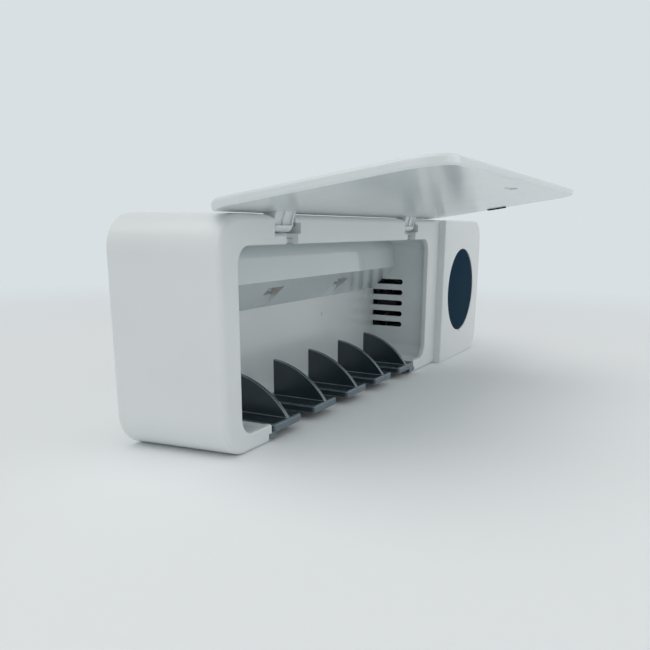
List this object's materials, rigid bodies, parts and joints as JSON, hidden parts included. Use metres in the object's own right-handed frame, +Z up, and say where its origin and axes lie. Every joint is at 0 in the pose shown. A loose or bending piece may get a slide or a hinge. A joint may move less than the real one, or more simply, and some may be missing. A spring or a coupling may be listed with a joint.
{
  "type": "toothbrush sanitizer box",
  "caption": "Wall or table toothbrush sanitizer box with a flap door, a comb rack for brush necks, ultraviolet lamps, a drying fan and a large round push button.",
  "frame": {"origin": "centre of the rear face, which lies against the wall", "axes": "+X along the box towards the control module, +Y towards the wall, +Z up; the door is open at rest"},
  "size_m": [0.2887, 0.1199, 0.0999],
  "materials": {
    "housing_white": "glossy",
    "cover_white": "fine spark texture",
    "liner_white": "glossy",
    "lamp_white": "high gloss",
    "door_white": "high gloss",
    "button_navy": "satin",
    "rack_grey": "satin",
    "fan_black": "satin",
    "switch_black": "satin",
    "board_green": "satin solder mask",
    "lamp_board": "satin solder mask with an amber edge",
    "led_grey": "satin ceramic",
    "lens_clear": "clear",
    "battery_sleeve": "satin shrink sleeve",
    "contact_nickel": "plated",
    "screw_steel": "plated",
    "pin_steel": "ground",
    "port_steel": "stamped"
  },
  "bodies": {
    "housing": {"main_housing": "housing_white", "control_cover": "housing_white", "back_cover": "cover_white", "back_cover_screws": "screw_steel", "tact_switch": "switch_black", "main_board": "board_green", "board_screws": "screw_steel", "charging_port": "port_steel", "door_sensor": "switch_black", "battery_cell": "battery_sleeve", "battery_holder": "fan_black", "battery_contacts": "contact_nickel", "compartment_liner": "liner_white", "lamp_housing": "lamp_white", "lamp_boards": "lamp_board", "lamp_leds": "led_grey", "lamp_lenses": "lens_clear", "lamp_screws": "screw_steel", "fan_frame": "fan_black", "left_hinge_pin": "pin_steel", "right_hinge_pin": "pin_steel"},
    "door": {"door_panel": "door_white", "door_magnet": "contact_nickel"},
    "button": {"round_button": "button_navy", "switch_plunger": "switch_black"},
    "fan": {"fan_rotor": "fan_black"},
    "rack": {"brush_rack": "rack_grey"}
  },
  "joints": [
    {"name": "door_hinge", "type": "hinge", "parent": "housing", "child": "door", "pos_m": [0, -0.04135, 0.0385], "axis": [1, 0, 0], "range_deg": [0, 98.9]},
    {"name": "rack_slide", "type": "slide", "parent": "housing", "child": "rack", "axis": [0, 1, 0], "range_m": [-0.045, 0]},
    {"name": "button_press", "type": "slide", "parent": "housing", "child": "button", "axis": [0, 1, 0], "range_m": [0, 0.0006], "stiffness_N_per_m": 2500, "springref_m": -0.0002},
    {"name": "fan_spin", "type": "hinge", "parent": "housing", "child": "fan", "pos_m": [0.0648, -0.0177, -0.0058], "axis": [1, 0, 0], "continuous": true}
  ]
}
